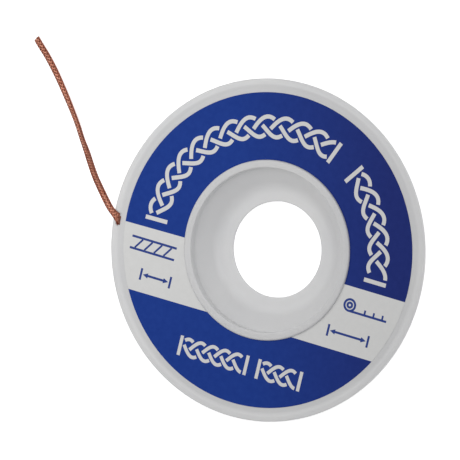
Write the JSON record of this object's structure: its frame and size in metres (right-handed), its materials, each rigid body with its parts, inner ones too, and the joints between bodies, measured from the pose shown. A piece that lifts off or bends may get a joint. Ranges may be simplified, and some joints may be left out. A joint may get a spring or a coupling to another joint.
{
  "type": "desoldering braid reel",
  "caption": "Flat reel of desoldering braid: copper braid wound in a two-part white plastic spool with a printed ring label, free end laid out",
  "frame": {"origin": "centre of the flat face that the reel rests on, on the reel's own axis", "axes": "+Z is the reel's axis and points out of the label, +X is the right-hand side of the upright label, +Y is its top"},
  "size_m": [0.0787, 0.0544, 0.0098],
  "materials": {
    "white_plastic": "satin",
    "printed_label": "satin",
    "copper_braid": "woven copper"
  },
  "bodies": {
    "root": {"rear_shell": "white_plastic", "front_disc": "white_plastic", "front_label": "printed_label", "braid_coil": "copper_braid", "braid_tail": "copper_braid"}
  },
  "joints": []
}
